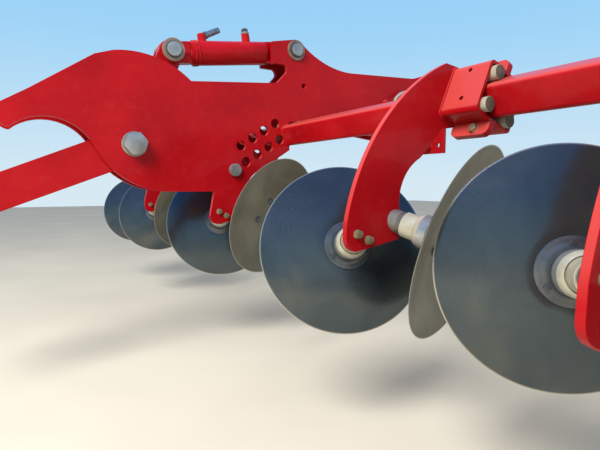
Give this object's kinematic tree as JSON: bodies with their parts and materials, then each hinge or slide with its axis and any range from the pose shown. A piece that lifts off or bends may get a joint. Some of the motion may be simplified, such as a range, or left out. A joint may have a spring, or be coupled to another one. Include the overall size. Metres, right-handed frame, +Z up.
{
  "type": "levelling disc section of a tine cultivator",
  "caption": "Side plates with a depth cylinder and roller arm carry a square beam; dished discs in pairs hang from it on sickle arms in rubber-sprung clamps.",
  "frame": {"origin": "centre of the front face of the flange that bolts the section to the machine's frame", "axes": "+X forward, out of the flange; +Y to the machine's left along the beam; +Z up"},
  "size_m": [2.04, 3.3149, 0.9561],
  "materials": {
    "red_paint": "gloss",
    "disc_steel": "satin",
    "bare_steel": "satin",
    "plated_steel": "satin",
    "chromed_rod": "polished",
    "rubber_cord": "matte"
  },
  "bodies": {
    "section": {"side_plate_near": "red_paint", "side_plate_far": "red_paint", "front_flange": "red_paint", "plate_spacers": "red_paint", "pivot_bolt": "plated_steel", "base_pin": "plated_steel", "stop_pin": "plated_steel", "cross_beam": "red_paint", "beam_end_caps": "red_paint", "arm_1": "red_paint", "clamp_1": "red_paint", "rubber_cords_1": "rubber_cord", "axles_1": "bare_steel", "arm_2": "red_paint", "clamp_2": "red_paint", "rubber_cords_2": "rubber_cord", "axles_2": "bare_steel", "axles_3": "bare_steel", "arm_4": "red_paint", "clamp_4": "red_paint", "rubber_cords_4": "rubber_cord", "axles_4": "bare_steel", "arm_5": "red_paint", "clamp_5": "red_paint", "rubber_cords_5": "rubber_cord", "axles_5": "bare_steel"},
    "wheel_1_near": {"disc_1_near": "disc_steel", "hub_1_near": "bare_steel"},
    "wheel_1_far": {"disc_1_far": "disc_steel", "hub_1_far": "bare_steel"},
    "wheel_2_near": {"disc_2_near": "disc_steel", "hub_2_near": "bare_steel"},
    "wheel_2_far": {"disc_2_far": "disc_steel", "hub_2_far": "bare_steel"},
    "wheel_3_near": {"disc_3_near": "disc_steel", "hub_3_near": "bare_steel"},
    "wheel_3_far": {"disc_3_far": "disc_steel", "hub_3_far": "bare_steel"},
    "wheel_4_near": {"disc_4_near": "disc_steel", "hub_4_near": "bare_steel"},
    "wheel_4_far": {"disc_4_far": "disc_steel", "hub_4_far": "bare_steel"},
    "wheel_5_near": {"disc_5_near": "disc_steel", "hub_5_near": "bare_steel"},
    "wheel_5_far": {"disc_5_far": "disc_steel", "hub_5_far": "bare_steel"},
    "roller_arm": {"roller_arm_plates": "red_paint", "roller_arm_hub": "red_paint", "roller_arm_webs": "red_paint", "roller_flange": "red_paint", "rod_pin": "plated_steel"},
    "barrel": {"cylinder_barrel": "red_paint"},
    "rod": {"cylinder_rod": "chromed_rod"}
  },
  "joints": [
    {"name": "spin_1_near", "type": "hinge", "parent": "section", "child": "wheel_1_near", "pos_m": [-0.98733, -1.56272, -0.48284], "axis": [0.3288, -0.9033, -0.2756], "continuous": true},
    {"name": "spin_1_far", "type": "hinge", "parent": "section", "child": "wheel_1_far", "pos_m": [-0.99486, -1.27617, -0.4976], "axis": [0.6803, 0.7296, -0.0698], "continuous": true},
    {"name": "spin_2_near", "type": "hinge", "parent": "section", "child": "wheel_2_near", "pos_m": [-0.98733, -1.05772, -0.48284], "axis": [0.3288, -0.9033, -0.2756], "continuous": true},
    {"name": "spin_2_far", "type": "hinge", "parent": "section", "child": "wheel_2_far", "pos_m": [-1.07544, -0.74762, -0.51684], "axis": [0.4062, 0.8712, -0.2756], "continuous": true},
    {"name": "spin_3_near", "type": "hinge", "parent": "section", "child": "wheel_3_near", "pos_m": [-0.98233, -0.20522, -0.47184], "axis": [0.3288, -0.9033, -0.2756], "continuous": true},
    {"name": "spin_3_far", "type": "hinge", "parent": "section", "child": "wheel_3_far", "pos_m": [-1.07044, 0.10488, -0.50584], "axis": [0.4062, 0.8712, -0.2756], "continuous": true},
    {"name": "spin_4_near", "type": "hinge", "parent": "section", "child": "wheel_4_near", "pos_m": [-0.98733, 0.74228, -0.48284], "axis": [0.3288, -0.9033, -0.2756], "continuous": true},
    {"name": "spin_4_far", "type": "hinge", "parent": "section", "child": "wheel_4_far", "pos_m": [-1.07544, 1.05238, -0.51684], "axis": [0.4062, 0.8712, -0.2756], "continuous": true},
    {"name": "spin_5_near", "type": "hinge", "parent": "section", "child": "wheel_5_near", "pos_m": [-0.99486, 1.27617, -0.4976], "axis": [0.6803, -0.7296, -0.0698], "continuous": true},
    {"name": "spin_5_far", "type": "hinge", "parent": "section", "child": "wheel_5_far", "pos_m": [-1.07544, 1.55738, -0.51684], "axis": [0.4062, 0.8712, -0.2756], "continuous": true},
    {"name": "roller_arm_swing", "type": "hinge", "parent": "section", "child": "roller_arm", "pos_m": [-1.446, 0, -0.217], "axis": [0, -1, 0], "range_deg": [0, 24]},
    {"name": "barrel_swing", "type": "hinge", "parent": "section", "child": "barrel", "pos_m": [-0.807, 0, 0.187], "axis": [0, 1, 0], "range_deg": [-0.5, 6]},
    {"name": "rod_slide", "type": "slide", "parent": "barrel", "child": "rod", "axis": [-0.99, 0, -0.1412], "range_m": [-0.001, 0.145]}
  ],
  "couplings": [
    {"joint": "barrel_swing", "follows": "roller_arm_swing", "ratio": 0.2065},
    {"joint": "rod_slide", "follows": "roller_arm_swing", "m_per_rad": 0.33994}
  ]
}
